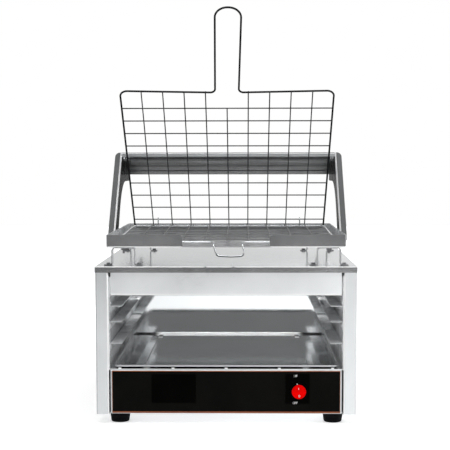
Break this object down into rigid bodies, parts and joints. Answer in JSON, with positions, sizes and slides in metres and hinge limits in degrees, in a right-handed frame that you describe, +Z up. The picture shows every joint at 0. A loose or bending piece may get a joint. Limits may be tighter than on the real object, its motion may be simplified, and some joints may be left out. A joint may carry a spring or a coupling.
{
  "type": "salamander toaster",
  "caption": "Free-standing sheet-steel salamander toaster: open warming chamber, control panel with a round rocker, and a top tray with wire rack, hinged grid and hood.",
  "frame": {"origin": "centre of the overall width and depth, on the plane under the feet", "axes": "+X to the right as seen from the front, +Y towards the back, +Z up"},
  "size_m": [0.424, 0.4582, 0.668],
  "materials": {
    "polished_steel": "polished",
    "satin_steel": "satin",
    "hood_steel": "polished",
    "bright_wire": "bright",
    "dark_wire": "satin",
    "zinc_fixings": "bright",
    "black_overlay": "gloss",
    "copper_line": "satin",
    "plate_black": "matt",
    "black_plastic": "satin",
    "red_plastic": "gloss",
    "foot_rubber": "matt",
    "element_sheath": "heat-tinted",
    "block_white": "matt",
    "lead_red": "matt"
  },
  "bodies": {
    "cabinet": {"top_panel": "polished_steel", "left_liner": "polished_steel", "right_liner": "polished_steel", "chamber_back": "polished_steel", "chamber_deck": "polished_steel", "upper_fascia": "polished_steel", "base_front_panel": "polished_steel", "heat_reflector": "polished_steel", "left_upper_rail": "polished_steel", "left_middle_rail": "polished_steel", "left_lower_rail": "polished_steel", "right_upper_rail": "polished_steel", "right_middle_rail": "polished_steel", "right_lower_rail": "polished_steel", "left_side_panel": "satin_steel", "right_side_panel": "satin_steel", "bottom_plate": "satin_steel", "back_panel": "satin_steel", "element_brackets": "satin_steel", "riser_front_left": "satin_steel", "riser_front_right": "satin_steel", "riser_rear_left": "satin_steel", "riser_rear_right": "satin_steel", "upper_tray": "hood_steel", "hood_left_side": "hood_steel", "hood_right_side": "hood_steel", "hood_roof": "hood_steel", "rail_rivets": "zinc_fixings", "deck_screws": "zinc_fixings", "foot_screws": "zinc_fixings", "back_screws": "zinc_fixings", "riser_screws": "zinc_fixings", "tray_bolts": "zinc_fixings", "tray_nuts": "zinc_fixings", "hood_rivets": "zinc_fixings", "element_bushes": "zinc_fixings", "control_overlay": "black_overlay", "overlay_edge_line": "copper_line", "blank_plate": "plate_black", "switch_plate": "plate_black", "switch_body": "black_plastic", "cable_gland": "black_plastic", "foot_front_left": "foot_rubber", "foot_front_right": "foot_rubber", "foot_rear_left": "foot_rubber", "foot_rear_right": "foot_rubber", "left_heating_element": "element_sheath", "right_heating_element": "element_sheath", "terminal_block": "block_white", "internal_wires": "lead_red"},
    "basket": {"rack_frame": "bright_wire", "rack_long_wires": "bright_wire", "rack_cross_wires": "bright_wire", "rack_hooks": "bright_wire", "rack_feet": "bright_wire"},
    "grid": {"grid_frame": "dark_wire", "grid_long_wires": "dark_wire", "grid_cross_wires": "dark_wire"},
    "crumb_tray": {"crumb_tray": "polished_steel"},
    "rocker": {"switch_rocker": "red_plastic"}
  },
  "joints": [
    {"name": "grid_hinge", "type": "hinge", "parent": "basket", "child": "grid", "pos_m": [0, 0.15294, 0.317], "axis": [-1, 0, 0], "range_deg": [-42.5, 9]},
    {"name": "basket_lift", "type": "slide", "parent": "cabinet", "child": "basket", "axis": [0, -0.6428, 0.766], "range_m": [0, 0.03]},
    {"name": "crumb_tray_slide", "type": "slide", "parent": "cabinet", "child": "crumb_tray", "axis": [0, -1, 0], "range_m": [0, 0.3]},
    {"name": "rocker_press", "type": "hinge", "parent": "cabinet", "child": "rocker", "pos_m": [0.1181, -0.22156, 0.0544], "axis": [-1, 0, 0], "range_deg": [0, 14]}
  ]
}
